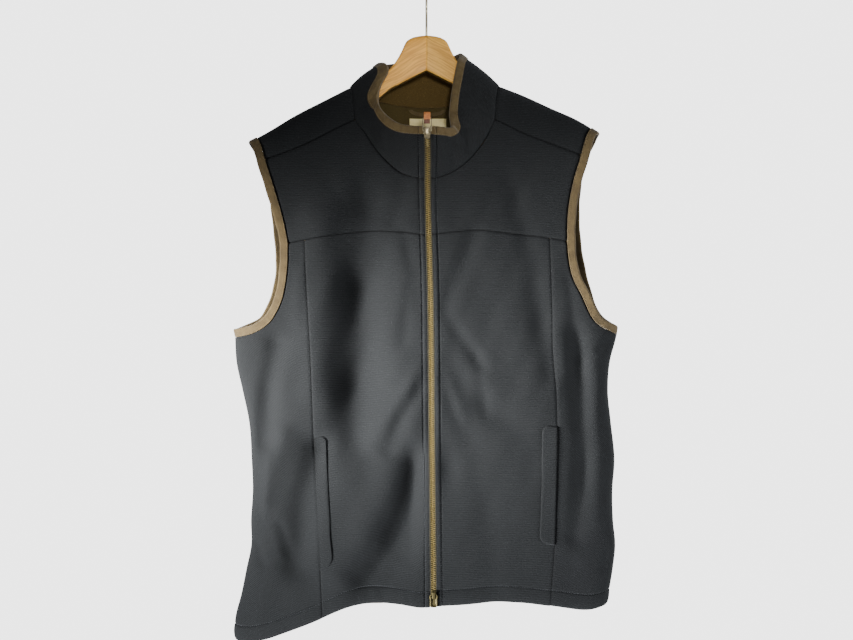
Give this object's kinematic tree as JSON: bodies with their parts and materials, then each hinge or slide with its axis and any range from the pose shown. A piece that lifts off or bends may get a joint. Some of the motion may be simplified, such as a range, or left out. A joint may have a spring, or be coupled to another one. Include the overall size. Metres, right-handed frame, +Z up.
{
  "type": "gilet on a coat hanger",
  "caption": "Sleeveless zip-front fleece gilet with stand collar, bound armholes and welt pockets, hanging on a mitred wooden coat hanger with a wire hook.",
  "frame": {"origin": "inside of the hook's crown, where a rail or peg holds the hanger", "axes": "+Z up, -Y out of the garment's front, +X towards the wearer's left"},
  "size_m": [0.5521, 0.1359, 0.9282],
  "materials": {
    "navy_fleece": "ribbed brushed fleece",
    "brown_fleece": "brushed fleece",
    "olive_binding": "smooth knit tape",
    "zip_tape": "woven tape",
    "moulded_teeth": "moulded, satin",
    "antique_metal": "antique, satin",
    "tan_leather": "smooth",
    "cream_label": "woven, blank",
    "pale_wood": "satin lacquer"
  },
  "bodies": {
    "garment": {"front_right_centre": "navy_fleece", "front_right_side": "navy_fleece", "front_right_yoke": "navy_fleece", "front_left_centre": "navy_fleece", "front_left_side": "navy_fleece", "front_left_yoke": "navy_fleece", "back": "navy_fleece", "collar": "navy_fleece", "collar_lining": "brown_fleece", "collar_binding": "olive_binding", "armhole_binding_right": "olive_binding", "armhole_binding_left": "olive_binding", "pocket_welt_right": "navy_fleece", "pocket_welt_left": "navy_fleece", "zip_tape_right": "zip_tape", "zip_tape_left": "zip_tape", "zip_chain": "moulded_teeth", "top_slider": "antique_metal", "bottom_slider": "antique_metal", "neck_label": "cream_label", "hanging_loop": "olive_binding", "hanger_arm_right": "pale_wood", "hanger_arm_left": "pale_wood", "hanger_hook": "antique_metal"},
    "top_pull": {"top_pull_loop": "antique_metal", "top_pull_tab": "tan_leather"},
    "bottom_pull": {"bottom_pull": "antique_metal"}
  },
  "joints": [
    {"name": "top_pull_hinge", "type": "hinge", "parent": "garment", "child": "top_pull", "pos_m": [0.00085, -0.06465, -0.2075], "axis": [1, 0, 0], "range_deg": [0, 165]},
    {"name": "bottom_pull_hinge", "type": "hinge", "parent": "garment", "child": "bottom_pull", "pos_m": [0.00976, -0.06971, -0.8485], "axis": [-1, 0, 0], "range_deg": [0, 165]}
  ]
}
